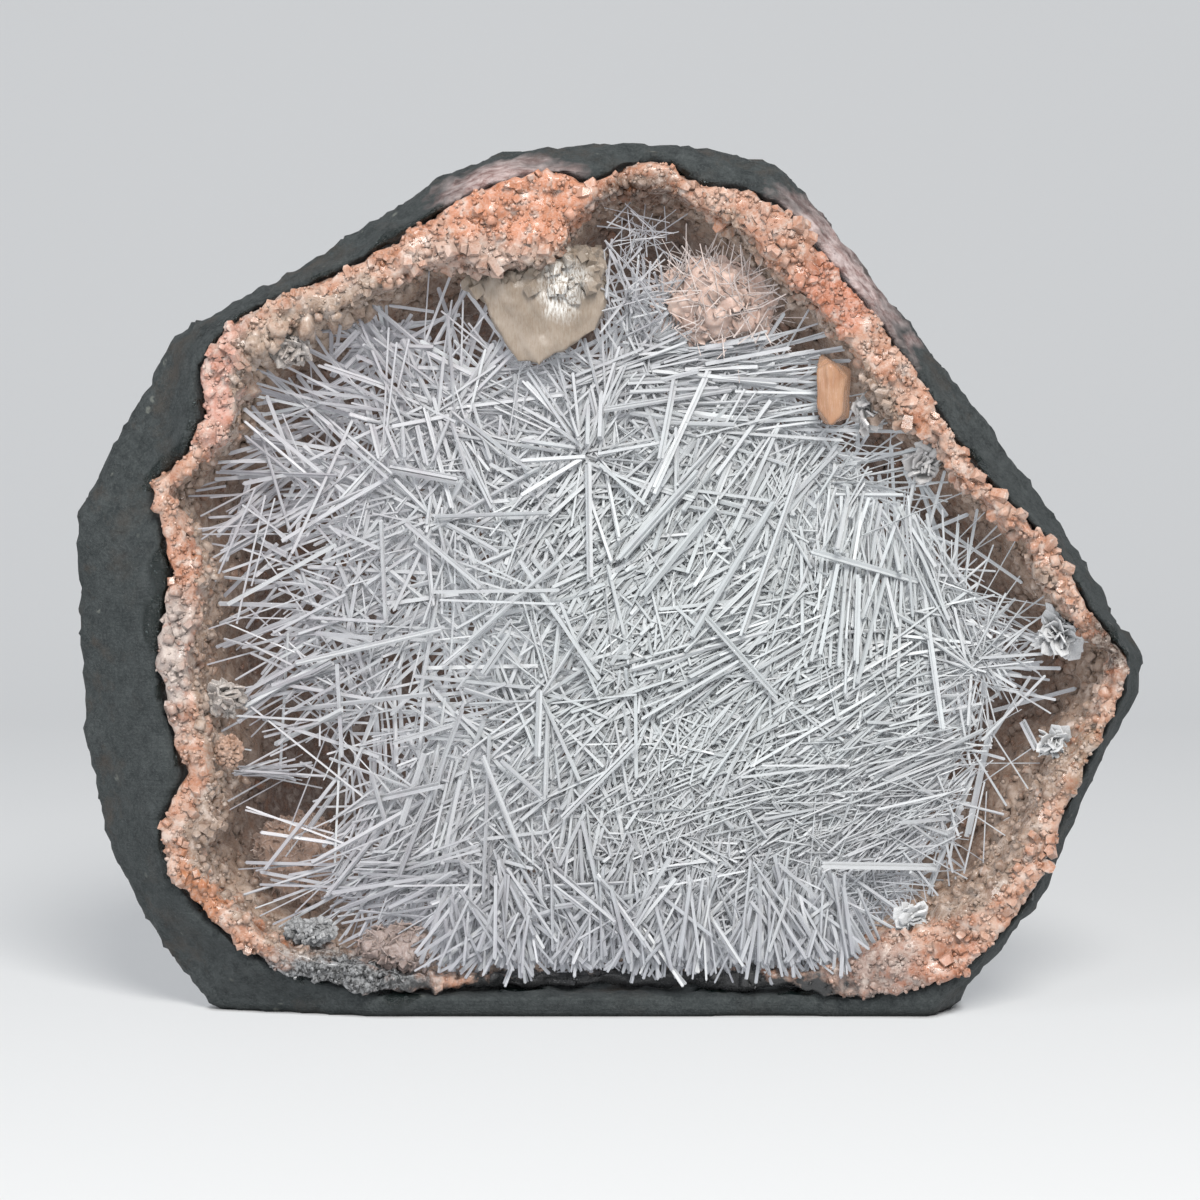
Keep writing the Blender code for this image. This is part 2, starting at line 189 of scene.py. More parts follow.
class Finish:
    """A node material. Its textures are placed in millimetres in the object's own space."""

    def __init__(self, name):
        self.material = bpy.data.materials.new(name)
        self.material.use_nodes = True
        self.tree = self.material.node_tree
        self.shader = self.tree.nodes["Principled BSDF"]
        scale = {0: self.node("TexCoord", "Object"), "Scale": 1 / MM}
        self.place = self.node("VectorMath", 0, scale, operation="SCALE")
        self.edge_noise = None
        self.colour = None

    def node(self, kind, output, inputs=None, **settings):
        """Adds a node of some kind and returns one of its outputs."""
        made = self.tree.nodes.new("ShaderNode" + kind)
        for key, value in settings.items():
            setattr(made, key, value)
        for key, value in (inputs or {}).items():
            self.give(made.inputs[key], value)
        return made.outputs[output]

    def give(self, socket, value):
        if isinstance(value, bpy.types.NodeSocket):
            self.tree.links.new(value, socket)
        elif socket.type == "RGBA":
            socket.default_value = (*value, 1.0)
        else:
            socket.default_value = value

    def done(self, values):
        """Gives the shader its colour and these values, and returns the material."""
        for key, value in {"Base Color": self.colour, **values}.items():
            self.give(self.shader.inputs[key], value)
        return self.material

    def noise(self, size, detail=3.0, roughness=0.55, at=None, stretch=None):
        """Noise from 0 to 1 whose lumps are about this many millimetres across."""
        where = at or self.place
        if stretch:
            where = self.node("VectorMath", 0, {0: where, 1: stretch}, operation="MULTIPLY")
        inputs = {"Vector": where, "Scale": 1.0 / size, "Detail": detail, "Roughness": roughness}
        return self.node("TexNoise", "Fac", inputs)

    def cells(self, size):
        """Distance from the middle of the nearest of many cells about this big."""
        return self.node("TexVoronoi", "Distance", {"Vector": self.place, "Scale": 1.0 / size})

    def range(self, value, low, high, to_low=0.0, to_high=1.0):
        return self.node("MapRange", "Result", {0: value, 1: low, 2: high, 3: to_low, 4: to_high})

    def math(self, operation, a, b):
        return self.node("Math", 0, {0: a, 1: b}, operation=operation)

    def times(self, a, b):
        return self.math("MULTIPLY", a, b)

    def mix(self, share, a, b):
        return self.node("Mix", 2, {0: share, 6: a, 7: b}, data_type="RGBA")

    def paint(self, share, colour):
        """Lays a colour over what is there."""
        self.colour = self.mix(share, self.colour, colour)

    def axis(self, name):
        return self.node("SeparateXYZ", name, {0: self.place})

    def strand(self):
        return self.node("Attribute", "Vector", attribute_name="strand")

    def marked(self):
        return self.node("SeparateXYZ", "X", {0: self.strand()})

    def near(self, centre, radii, edge=0.35):
        """1 inside an ellipsoid round a centre, 0 outside, with a ragged soft edge."""
        if self.edge_noise is None:
            self.edge_noise = self.range(self.noise(4.0, 4.0), 0.3, 0.7, -0.3, 0.3)
        shrink = tuple(1 / r for r in radii)
        off = self.node("VectorMath", 0, {0: self.place, 1: centre}, operation="SUBTRACT")
        scaled = self.node("VectorMath", 0, {0: off, 1: shrink}, operation="MULTIPLY")
        far = self.node("VectorMath", "Value", {0: scaled}, operation="LENGTH")
        ragged = self.math("ADD", far, self.edge_noise)
        return self.range(ragged, 1.0 + edge, 1.0 - edge)

    def bump(self, height, distance, strength):
        inputs = {"Height": height, "Distance": distance * MM, "Strength": strength}
        return self.node("Bump", "Normal", inputs)

    def per_piece(self):
        """A random value for each needle, crystal or grain."""
        return self.node("NewGeometry", "Random Per Island")


# Pale rind on the rock: centre, radii and how soft the edge is
RIND = [
    ((-21, -45, 156), (12, 8, 6), 0.5),
    ((46, -44, 143), (14, 10, 16), 0.5),
    ((60, -40, 127), (5, 5, 2), 0.35),
]


def basalt_finish():
    """Dark rock, glossy in patches by the crust with painted glints in them, with pale rind, and rusty
    where broken.
    """
    f = Finish("basalt")
    grain = f.noise(0.5, 4.0, 0.7)
    mottling = f.noise(2.6, 6.0, 0.72)
    clouds = f.noise(15.0, 3.0, 0.6)
    f.colour = f.mix(f.range(mottling, 0.36, 0.64), (0.017, 0.022, 0.023), (0.068, 0.078, 0.077))
    f.paint(f.range(clouds, 0.38, 0.62, 0.0, 0.55), (0.030, 0.038, 0.038))
    f.paint(f.range(grain, 0.45, 0.75, 0.0, 0.6), (0.115, 0.125, 0.122))
    specks = f.range(f.cells(0.9), 0.10, 0.04)
    f.paint(f.times(specks, 0.4), (0.20, 0.21, 0.20))
    blotch = f.noise(6.0, 4.0, 0.65)
    patches = f.times(f.range(f.marked(), 0.35, 0.65), f.range(blotch, 0.38, 0.46))
    # Painted glints: pale specks of painted highlight in the glossy patches
    painted_glint = f.times(f.range(f.noise(0.7, 2.0, 0.6), 0.66, 0.72), 0.5)
    f.paint(patches, f.mix(painted_glint, (0.004, 0.010, 0.009), (0.30, 0.36, 0.36)))
    pale = f.near(*RIND[0])
    for patch in RIND[1:]:
        pale = f.math("MAXIMUM", pale, f.near(*patch))
    streak = f.noise(2.2, 4.0, 0.65, stretch=(0.45, 1.0, 1.0))
    rind = f.mix(f.range(streak, 0.38, 0.62), (0.30, 0.17, 0.15), (0.74, 0.60, 0.57))
    f.paint(f.times(pale, f.range(streak, 0.30, 0.42, 0.5, 1.0)), rind)
    # 0 on the sawn front, 1 on the broken back
    broken = f.range(f.axis("Y"), -44.0, -36.0)
    rust = f.times(f.range(f.noise(11.0, 5.0, 0.7), 0.52, 0.66, 0.0, 0.55), broken)
    f.paint(rust, (0.085, 0.062, 0.045))
    spots = f.times(f.range(f.cells(4.2), 0.20, 0.12), f.range(blotch, 0.55, 0.60))
    f.paint(f.times(spots, f.range(broken, 0.0, 1.0, 0.2, 0.7)), (0.22, 0.23, 0.20))
    saw = f.noise(0.4, 1.0, 0.5, stretch=(0.06, 0.06, 1.0))
    saw = f.times(saw, f.range(broken, 0.0, 1.0, 0.5, 0.0))
    height = f.math("ADD", f.times(grain, 0.7), f.noise(2.0, 5.0, 0.65))
    height = f.math("ADD", height, saw)
    return f.done({
        "Roughness": f.range(patches, 0.0, 1.0, 0.78, 0.22),
        "Normal": f.bump(height, 0.5, 0.85),
    })


# Patches of the crust with a colour of their own: px, py, depth, radii and colour
RIM_ZONES = [
    (515, 205, -46, (16, 14, 10), (0.70, 0.29, 0.16)),
    (480, 262, -46, (14, 10, 4.5), (0.66, 0.44, 0.34)),
    (835, 290, -46, (8, 14, 9), (0.62, 0.24, 0.14)),
    (765, 235, -44, (9, 14, 7), (0.62, 0.32, 0.21)),
    (220, 370, -46, (7, 9, 14), (0.74, 0.38, 0.29)),
    (165, 650, -46, (6, 9, 16), (0.50, 0.40, 0.35)),
    (175, 560, -46, (6, 9, 6), (0.60, 0.28, 0.17)),
    (1110, 640, -46, (5, 9, 7), (0.09, 0.05, 0.03)),
    (1085, 760, -44, (6, 9, 9), (0.42, 0.27, 0.18)),
    (890, 975, -44, (12, 12, 7), (0.40, 0.27, 0.22)),
    (960, 965, -46, (8, 12, 5), (0.62, 0.28, 0.17)),
    (210, 880, -46, (6, 9, 9), (0.60, 0.25, 0.12)),
]
# The same for the walls; the tan upper left and the brown right wall are painted lighter than their own
# tone, as painted light where the deep walls lie in shade
WALL_TONES_AND_PAINTED_LIGHT = [
    (642, 205, -40, (10, 12, 5), (0.16, 0.075, 0.04)),
    (320, 350, -34, (18, 18, 11), (0.60, 0.44, 0.33)),
    (1020, 660, -25, (14, 18, 26), (0.36, 0.24, 0.17)),
]
# Painted shade on the rim under the needles' overhang, and the grey druse: centre, radii and edge
FRINGE_SHADE = (spot(640, 1000, -40.0), (46.0, 16.0, 8.0), 0.15)
DRUSE_DARK = (spot(335, 978, -44.0), (20.0, 12.0, 5.5), 0.35)


def paint_zones(f, zones):
    for px, py, y, radii, colour in zones:
        f.paint(f.near(spot(px, py, y), radii), colour)


def heulandite_finish(name, each=0.0):
    """Salmon on the rim, tan and brown on the walls; the marked value says which. Painted shade darkens
    it deeper in the hollow and under the needles' fringe, and painted light brightens two walls.
    """
    f = Finish(name)
    coarse = f.noise(5.0, 4.0, 0.6)
    clumps = f.noise(2.2, 4.0, 0.65)
    fine = f.noise(0.9, 5.0, 0.7)
    f.colour = f.mix(f.range(coarse, 0.35, 0.65), (0.56, 0.25, 0.14), (0.72, 0.46, 0.34))
    paint_zones(f, RIM_ZONES)
    inner = f.mix(f.range(coarse, 0.35, 0.65), (0.30, 0.19, 0.13), (0.50, 0.36, 0.27))
    ragged = f.math("ADD", f.marked(), f.range(fine, 0.3, 0.7, -0.25, 0.25))
    f.paint(f.range(ragged, 0.3, 0.7), inner)
    # Wall colours, partly painted light
    paint_zones(f, WALL_TONES_AND_PAINTED_LIGHT)
    depth = f.axis("Y")
    # Painted shade: darker deeper in the hollow, where less light reaches
    f.paint(f.range(depth, -32.0, -4.0, 0.0, 0.9), (0.07, 0.04, 0.03))
    deep = f.mix(f.range(f.marked(), 0.3, 0.7), (0.42, 0.13, 0.05), (0.20, 0.10, 0.06))
    f.paint(f.range(clumps, 0.47, 0.34, 0.0, 0.6), deep)
    pale_share = f.range(clumps, 0.50, 0.66, 0.0, 0.7)
    pale_share = f.math("MAXIMUM", pale_share, f.range(fine, 0.50, 0.72, 0.0, 0.5))
    if each:
        own = f.per_piece()
        pale_share = f.math("MAXIMUM", pale_share, f.range(own, 0.6, 1.0, 0.0, each))
        f.paint(f.range(own, 0.3, 0.0, 0.0, each), (0.36, 0.13, 0.06))
    pale_share = f.times(pale_share, f.range(depth, -40.0, -20.0, 1.0, 0.25))
    f.paint(pale_share, (0.84, 0.71, 0.62))
    # Painted shade: dark spots for pinholes, which are not modelled
    pit_shade = f.times(f.range(f.cells(2.6), 0.16, 0.08), f.range(fine, 0.45, 0.5))
    f.paint(f.times(pit_shade, 0.8), (0.10, 0.04, 0.02))
    frost = f.mix(f.range(fine, 0.42, 0.62), (0.02, 0.02, 0.02), (0.42, 0.42, 0.42))
    f.paint(f.near(*DRUSE_DARK), frost)
    # Painted shade: the rim under the needles' fringe is painted near black, as if in the overhang's
    # shadow
    f.paint(f.near(*FRINGE_SHADE), (0.03, 0.03, 0.03))
    return f.done({
        "Roughness": f.range(fine, 0.35, 0.65, 0.14, 0.45),
        "Normal": f.bump(f.math("ADD", fine, f.noise(0.35, 2.0)), 0.3, 0.6),
        "IOR": 1.55,
        "Coat Weight": 0.35,
        "Coat Roughness": 0.08,
    })


# Where the needles are white and lit, not mauve and in painted shade: centre, radii and edge
MILKY_AND_LIT = ((24.0, -40.0, 72.0), (62.0, 60.0, 52.0), 0.6)


def needle_finish(name, clear, light):
    """Lined scolecite; light is the share of its colour that is left away from the milk-white middle, the
    rest being painted shade.
    """
    f = Finish(name)
    strand = f.strand()
    lines = f.noise(0.18, 2.0, 0.6, at=strand, stretch=(1.0, 0.03, 1.0))
    each = f.per_piece()
    f.colour = f.mix(each, (0.85, 0.89, 0.89), (0.95, 0.98, 0.98))
    milky_and_lit = f.near(*MILKY_AND_LIT)
    # Mauve away from the milk-white middle: partly the needles' own tint, partly painted shade, since it
    # is darker too
    mauve = f.mix(each, (0.58, 0.55, 0.58), (0.86, 0.83, 0.85))
    f.paint(f.math("SUBTRACT", 1.0, milky_and_lit), mauve)
    # Painted shade: greyer and darker towards the bottom, where less light falls
    f.paint(f.range(f.axis("Z"), 34.0, 6.0, 0.0, 0.5), (0.42, 0.45, 0.50))
    f.paint(f.range(lines, 0.5, 0.75, 0.0, 0.5), (0.93, 0.96, 0.97))
    f.paint(f.range(each, 0.92, 0.94, 0.0, 0.8), (0.97, 0.98, 0.98))
    # Painted shade: away from the middle, needles are darkened to the share light, standing for deeper
    # needles in shadow
    unshaded_share = f.range(milky_and_lit, 0.0, 0.8, light, 1.0)
    f.colour = f.mix(unshaded_share, (0.10, 0.08, 0.08), f.colour)
    return f.done({
        "Roughness": f.range(lines, 0.3, 0.7, 0.22, 0.5),
        "Normal": f.bump(lines, 0.06, 0.5),
        "Transmission Weight": clear,
        "IOR": 1.51,
    })


def pale_finish(name, dark, light, roughness, painted_glint=0.7, clear=0.0, size=0.8, stretch=None):
    """Pale crystal: two tones, painted glints in fine lines or grains, some transparency."""
    f = Finish(name)
    broad = f.noise(4.0 * size, 3.0, 0.6)
    fine = f.noise(0.5 * size, 4.0, 0.65, stretch=stretch)
    f.colour = f.mix(f.range(broad, 0.3, 0.7), dark, light)
    # Painted glints: near white along the fine noise, up to the given share
    f.paint(f.range(fine, 0.48, 0.72, 0.0, painted_glint), (0.90, 0.88, 0.85))
    f.paint(f.range(f.per_piece(), 0.0, 1.0, 0.0, 0.35), light)
    return f.done({
        "Roughness": f.range(fine, 0.3, 0.7, roughness * 0.6, roughness * 1.4),
        "Normal": f.bump(fine, 0.08 * size, 0.6),
        "Transmission Weight": clear,
        "IOR": 1.5,
    })


# The widest needle of three sides, of one rod and of two rods
HAIR_WIDTH = 0.42
ROD_WIDTH = 1.0
PAIR_WIDTH = 1.5
CORNER = 1.08  # how far out a rod's corners are, in halves of its width
FACING = Vector((0.05, 1.0, 0.02))


def spin(axis, rng):
    """Two directions across an axis, turned at random."""
    side = axis.orthogonal().normalized()
    side.rotate(Matrix.Rotation(rng.uniform(0, 2 * math.pi), 3, axis))
    return side, axis.cross(side)


def prism(pile, foot, tip, width, rng, flat=1.0, sides=4):
    """A rod with a low point at its tip and its broad side more or less to the front."""
    along = tip - foot
    length = along.length
    if length < 0.3:
        return
    axis = along / length
    side = axis.cross(FACING).normalized()
    side.rotate(Matrix.Rotation(rng.gauss(0, 0.45), 3, axis))
    other = axis.cross(side)
    a = width / 2
    b = a * flat
    ring = []
    for k in range(sides):
        t = 2 * math.pi * (k + 0.5) / sides
        ring.append(side * (a * CORNER * math.cos(t)) + other * (b * CORNER * math.sin(t)))
    point = min(length * 0.4, width * rng.uniform(0.1, 0.6))
    shoulder = foot + axis * (length - point)
    verts = [foot + r for r in ring] + [shoulder + r for r in ring] + [tip]
    faces = [tuple(reversed(range(sides)))]
    for i in range(sides):
        j = (i + 1) % sides
        faces.append((i, j, sides + j, sides + i))
        faces.append((sides + i, sides + j, 2 * sides))
    own = rng.uniform(0, 500)
    rounds = [own + width * i for i in range(sides)]
    strand = [(r, 0.0, own) for r in rounds] + [(r, length, own) for r in rounds]
    strand.append((own + width * 1.5, length, own))
    pile.add(verts, faces, strand)


def bundle(pile, foot, tip, width, rng):
    """A needle: one rod, or two or three grown side by side where it is wide."""
    if width < HAIR_WIDTH:
        prism(pile, foot, tip, width * 1.1, rng, 1.0, 3)
        return
    if width < ROD_WIDTH:
        prism(pile, foot, tip, width, rng, rng.uniform(0.5, 1.0))
        return
    count = 2 if width < PAIR_WIDTH else 3
    axis = (tip - foot).normalized()
    across, through = spin(axis, rng)
    length = (tip - foot).length
    for k in range(count):
        share = (k + 0.5) / count - 0.5
        shift = across * (share * width * 0.8) + through * (rng.uniform(-0.15, 0.15) * width)
        start = foot + shift + axis * rng.uniform(0.0, 0.06) * length
        end = tip + shift * rng.uniform(0.85, 1.2) - axis * rng.uniform(0.0, 0.08) * length
        prism(pile, start, end, width / count * rng.uniform(0.95, 1.35), rng, rng.uniform(0.7, 1.0))


GRID_STEP = 2.0
GRID_X = np.arange(-80.0, 82.0, GRID_STEP)
GRID_Z = np.arange(0.0, 134.0, GRID_STEP)
OUTSIDE_Y = -26.0  # the grid's depth where the main thicket is missing
SHEET_Y = -38.0  # the furthest back that crossing needles are hung from
MIDDLE_Y = -40.0  # a first guess at the depth of a place in the picture


def front_grid():
    """How far forward the main thicket reaches, on a grid seen from the front."""
    grid = np.full((len(GRID_X), len(GRID_Z)), OUTSIDE_Y)
    for i, x in enumerate(GRID_X):
        for k, z in enumerate(GRID_Z):
            hit = thicket_tree.ray_cast(Vector((x, -100.0, z)), Vector((0, 1, 0)))[0]
            if hit is not None:
                grid[i, k] = hit.y
    # Two rounds of averaging over the neighbours
    for _ in range(2):
        padded = np.pad(grid, 1, mode="edge")
        rows, columns = grid.shape
        shifted = [padded[i:i + rows, k:k + columns] for i in range(3) for k in range(3)]
        grid = sum(shifted) / len(shifted)
    return grid


front_y_grid = front_grid()


def front_y(x, z):
    i = (x - GRID_X[0]) / GRID_STEP
    k = (z - GRID_Z[0]) / GRID_STEP
    i = min(max(i, 0.0), len(GRID_X) - 1.01)
    k = min(max(k, 0.0), len(GRID_Z) - 1.01)
    m, n = int(i), int(k)
    u, v = i - m, k - n
    low = front_y_grid[m, n] * (1 - u) + front_y_grid[m + 1, n] * u
    high = front_y_grid[m, n + 1] * (1 - u) + front_y_grid[m + 1, n + 1] * u
    return low * (1 - v) + high * v


def free_length(foot, direction, wanted):
    """How far a needle can run before it meets the crust or another crystal."""
    hit = obstacle_tree.ray_cast(foot, direction, wanted + 1.0)[3]
    return wanted if hit is None else max(0.0, min(wanted, hit - 0.3))


def depth_at(px, py, behind):
    """The depth of what the camera sees here, this far behind the thicket's front."""
    y = MIDDLE_Y
    for _ in range(3):
        p = spot(px, py, y)
        y = front_y(p.x, p.z) + behind
    return y


def inside(x, z):
    """Whether the main thicket is there, seen from the front."""
    return front_y(x, z) < OUTSIDE_Y - 3.0 and z > LOWEST_NEEDLE


def sheet_y(x, z):
    """How far forward the needles reach, also past the thicket's own edge."""
    return min(front_y(x, z), SHEET_Y)


# Places in the picture with few needles: centre, half width and half height in pixels
VOIDS = [
    (285, 820, 95, 75), (290, 365, 60, 35), (1040, 660, 60, 100), (515, 290, 92, 72),
    (640, 228, 70, 44), (985, 835, 28, 40), (240, 545, 40, 60), (250, 740, 60, 40),
    (880, 380, 60, 40), (715, 262, 60, 40), (340, 960, 100, 40),
]


def in_void(px, py):
    return any(((px - x) / rx) ** 2 + ((py - y) / ry) ** 2 < 1.0 for x, y, rx, ry in VOIDS)


def cross(pile, foot, angle, length, width, behind, rng):
    """Grows a needle along the thicket's front; its foot and tip lie this far behind it."""
    across = Vector((math.cos(angle), 0.0, math.sin(angle)))
    end = foot + across * length
    while length > 4.0 and end.z < LOWEST_NEEDLE + 0.5:
        length *= 0.85
        end = foot + across * length
    start = Vector((foot.x, max(sheet_y(foot.x, foot.z) + behind[0], FRONT_LIMIT), foot.z))
    end.y = max(sheet_y(end.x, end.z) + behind[1], FRONT_LIMIT)
    direction = (end - start).normalized()
    length = free_length(start, direction, (end - start).length)
    if length > 3.0:
        bundle(pile, start, start + direction * length, width, rng)


def lay(pile, needle, rng):
    """Lays one needle across the thicket's front, from foot to tip in the picture."""
    px1, py1, px2, py2, wide = needle
    y1 = depth_at(px1, py1, -0.6)
    y2 = depth_at(px2, py2, -1.6)
    deepest = 0.0
    for share in (0.2, 0.4, 0.6, 0.8):
        line = y1 + (y2 - y1) * share
        there = depth_at(px1 + (px2 - px1) * share, py1 + (py2 - py1) * share, -0.5)
        deepest = max(deepest, line - there)
    foot = spot(px1, py1, max(y1 - deepest, FRONT_LIMIT))
    tip = spot(px2, py2, max(y2 - deepest, FRONT_LIMIT))
    middle = (foot + tip) / 2
    half = (tip - middle).length
    direction = (tip - middle).normalized()
    tip = middle + direction * free_length(middle, direction, half)
    foot = middle - direction * free_length(middle, -direction, half)
    bundle(pile, foot, tip, wide * PIXEL, rng)


# The needles that stand out in front: foot and tip in the picture, then width in pixels
NEEDLES = [
    (460, 425, 300, 345, 6), (560, 428, 374, 325, 4), (434, 373, 250, 404, 8),
    (375, 392, 262, 415, 4), (270, 423, 381, 355, 5), (276, 430, 383, 362, 4),
    (350, 413, 232, 438, 3), (335, 450, 241, 433, 5), (345, 458, 245, 436, 3),
    (301, 435, 221, 469, 4), (243, 461, 182, 465, 4), (340, 476, 204, 471, 6),
    (226, 486, 182, 493, 3), (361, 401, 287, 564, 6), (363, 387, 380, 459, 7),
    (371, 389, 398, 459, 4), (312, 411, 388, 479, 4), (318, 410, 392, 474, 3),
    (400, 379, 405, 459, 6), (417, 425, 427, 467, 6), (454, 411, 483, 311, 4),
    (463, 416, 560, 360, 6), (449, 416, 391, 427, 5), (465, 419, 530, 470, 4),
    (449, 420, 432, 462, 4), (452, 424, 470, 480, 4), (306, 614, 199, 655, 7),
    (300, 617, 385, 622, 4), (277, 585, 245, 629, 6), (277, 544, 211, 609, 5),
    (306, 585, 180, 573, 3), (289, 556, 238, 529, 7), (250, 478, 216, 592, 6),
    (287, 541, 250, 505, 4), (282, 541, 386, 479, 5), (311, 512, 386, 481, 4),
    (386, 624, 381, 512, 7), (335, 529, 381, 549, 4), (403, 520, 483, 588, 6),
    (434, 592, 560, 590, 4), (440, 600, 556, 604, 3), (388, 467, 463, 481, 11),
    (434, 517, 560, 513, 6), (578, 440, 554, 367, 6), (587, 445, 589, 372, 5),
    (600, 440, 602, 387, 8), (583, 447, 520, 401, 4), (575, 448, 520, 440, 5),
    (585, 457, 520, 461, 5), (581, 459, 520, 496, 5), (588, 459, 590, 583, 7),
    (598, 454, 665, 442, 4), (600, 464, 646, 505, 4), (604, 470, 640, 485, 3),
    (651, 498, 738, 307, 10), (658, 464, 682, 333, 8), (677, 493, 677, 425, 7),
    (520, 379, 668, 307, 8), (524, 384, 640, 330, 5), (617, 345, 777, 357, 8),
    (625, 358, 745, 372, 5), (630, 340, 700, 352, 4), (624, 382, 738, 377, 7),
    (630, 392, 720, 388, 5), (603, 410, 738, 388, 6), (658, 423, 738, 425, 6),
    (722, 437, 676, 488, 10), (799, 418, 802, 459, 6), (857, 416, 858, 452, 5),
    (859, 456, 838, 554, 12), (838, 564, 820, 655, 5), (859, 573, 856, 667, 6),
    (879, 472, 902, 577, 8), (912, 513, 944, 740, 7), (921, 486, 977, 652, 5),
    (907, 522, 953, 623, 8), (921, 481, 948, 520, 7), (905, 470, 915, 492, 6),
    (990, 662, 1040, 665, 5), (990, 673, 1050, 680, 3), (990, 660, 1000, 640, 2),
    (941, 527, 1031, 589, 4), (957, 582, 999, 619, 2), (962, 605, 999, 635, 3),
    (992, 711, 1077, 688, 5), (921, 582, 808, 550, 7), (868, 480, 850, 520, 6),
    (445, 628, 293, 664, 6), (373, 638, 314, 633, 5), (280, 773, 288, 633, 3),
    (335, 661, 242, 710, 8), (429, 694, 288, 710, 5), (342, 710, 274, 745, 5),
    (337, 664, 342, 758, 5), (345, 779, 308, 831, 4), (371, 773, 388, 832, 6),
    (424, 753, 399, 830, 7), (465, 702, 396, 883, 7), (460, 780, 442, 865, 5),
    (460, 722, 391, 743, 7), (483, 674, 511, 633, 8), (444, 784, 355, 804, 8),
    (478, 845, 337, 893, 3), (480, 850, 345, 886, 3), (470, 838, 352, 880, 3),
    (452, 873, 411, 898, 5), (508, 870, 503, 949, 7), (552, 911, 485, 932, 5),
    (460, 924, 473, 960, 5), (993, 720, 967, 844, 8), (976, 766, 927, 895, 7),
    (1022, 720, 1052, 779, 9), (1047, 792, 967, 850, 12), (963, 817, 900, 823, 5),
    (938, 867, 820, 865, 8), (946, 895, 910, 872, 4), (984, 888, 942, 874, 5),
    (1009, 888, 898, 901, 5), (946, 804, 906, 777, 3), (944, 848, 908, 821, 3),
    (976, 878, 946, 855, 3), (883, 975, 858, 943, 4), (540, 690, 538, 760, 7),
    (500, 760, 545, 800, 6), (620, 560, 700, 470, 8), (640, 600, 720, 500, 9),
    (690, 640, 775, 500, 8), (740, 640, 800, 470, 9), (600, 700, 560, 600, 6),
    (520, 560, 600, 680, 5), (470, 640, 560, 560, 5), (640, 720, 740, 660, 6),
    (780, 700, 700, 610, 6), (560, 820, 640, 740, 6), (520, 850, 480, 750, 6),
]

# Where the needles lie mostly one way: place, reach in pixels, angle and its spread
Flow = namedtuple("Flow", "px py reach angle spread")
FLOWS = [
    Flow(700, 500, 130, 240, 10), Flow(850, 550, 90, 264, 10), Flow(935, 570, 60, 288, 8),
    Flow(900, 770, 160, 202, 13), Flow(740, 640, 110, 226, 16), Flow(300, 640, 100, 196, 24),
    Flow(300, 440, 80, 190, 34), Flow(450, 790, 90, 250, 18), Flow(620, 340, 70, 15, 18),
    Flow(720, 385, 70, 2, 14), Flow(420, 870, 60, 198, 16), Flow(600, 880, 120, 262, 30),
    Flow(760, 900, 90, 250, 40), Flow(560, 560, 80, 45, 40), Flow(420, 550, 80, 160, 50),
    Flow(400, 380, 60, 120, 50),
]


def flow_at(px, py, rng):
    """An angle for a needle here: about that of the strongest flow, or any."""
    best = None
    share = 0.0
    for flow in FLOWS:
        near = math.exp(-(math.hypot(px - flow.px, py - flow.py) / flow.reach) ** 2)
        if near > share:
            best = flow
            share = near
    if rng.random() < share * 1.05:
        return best.angle + rng.gauss(0, best.spread)
    return rng.uniform(0, 360)


def usual_width(px, py):
    """How wide needles are here, in millimetres: finest at the lower right."""
    right = ramp(px, 560, 860)
    low = ramp(py, 640, 860)
    return 0.72 - 0.16 * right - 0.10 * low - 0.12 * right * low


WIDTH_SHARES = (0.4, 0.6, 0.85, 1.3)
TUFT_SPREADS = (6.0, 11.0, 20.0, 70.0)


def tuft(pile, px, py, angle, count, spread, longest, width, behind, rng):
    """Needles that start close together and fan out round an angle."""
    centre = spot(px, py, depth_at(px, py, 1.0))
    for _ in range(count):
        foot = centre + Vector((rng.gauss(0, 1.6), 0.0, rng.gauss(0, 1.6)))
        turned = math.radians(angle + rng.gauss(0, spread))
        ends = (rng.uniform(*behind), rng.uniform(behind[0] - 0.8, behind[1] * 0.6))
        length = longest * rng.uniform(0.45, 1.0)
        cross(pile, foot, turned, length, width * rng.choice(WIDTH_SHARES), ends, rng)


def stream(pile, rng, flows, tufts, width, most):
    """Long needles on top of the others, along some of the flows."""
    for flow in flows:
        for _ in range(tufts):
            px = flow.px + rng.gauss(0, 0.42) * flow.reach
            py = flow.py + rng.gauss(0, 0.42) * flow.reach
            back = math.radians(flow.angle)
            px -= 45 * math.cos(back)
            py += 45 * math.sin(back)
            p = spot(px, py, MIDDLE_Y)
            if inside(p.x, p.z) and not in_void(px, py):
                angle = flow.angle + rng.gauss(0, flow.spread)
                tuft(pile, px, py, angle, rng.randint(2, most), 8.0, rng.uniform(20, 34),
                     width * usual_width(px, py), (0.2, 2.2), rng)


def tangle(pile, rng, triangles, area, behind, density, longest, most):
    """Tufts over a part of the picture, until there are this many triangles."""
    stop = pile.triangles + triangles
    while pile.triangles < stop:
        px = rng.uniform(area[0], area[2])
        py = rng.uniform(area[1], area[3])
        p = spot(px, py, MIDDLE_Y)
        if not inside(p.x, p.z) or rng.random() > density(px, py):
            continue
        if in_void(px, py) and rng.random() < 0.9:
            continue
        spread = rng.choice(TUFT_SPREADS)
        tuft(pile, px, py, flow_at(px, py, rng), rng.randint(3, most), spread,
             rng.uniform(*longest), usual_width(px, py), behind, rng)


def star(pile, px, py, count, longest, width, rng):
    """Needles out of one centre on all sides."""
    for k in range(count):
        angle = 360.0 * k / count + rng.gauss(0, 9)
        tuft(pile, px, py, angle, 1, 4.0, longest, width, (0.6, 2.2), rng)


def anywhere(*place):
    return 1.0


def sparse_left(px, py):
    """Thin at the left and upper left, where the walls show between the needles."""
    return 0.12 + 0.88 * ramp(px + 0.25 * (py - 600), 280, 560)


def half_left(px, py):
    return 0.3 + 0.7 * ramp(px, 300, 560)


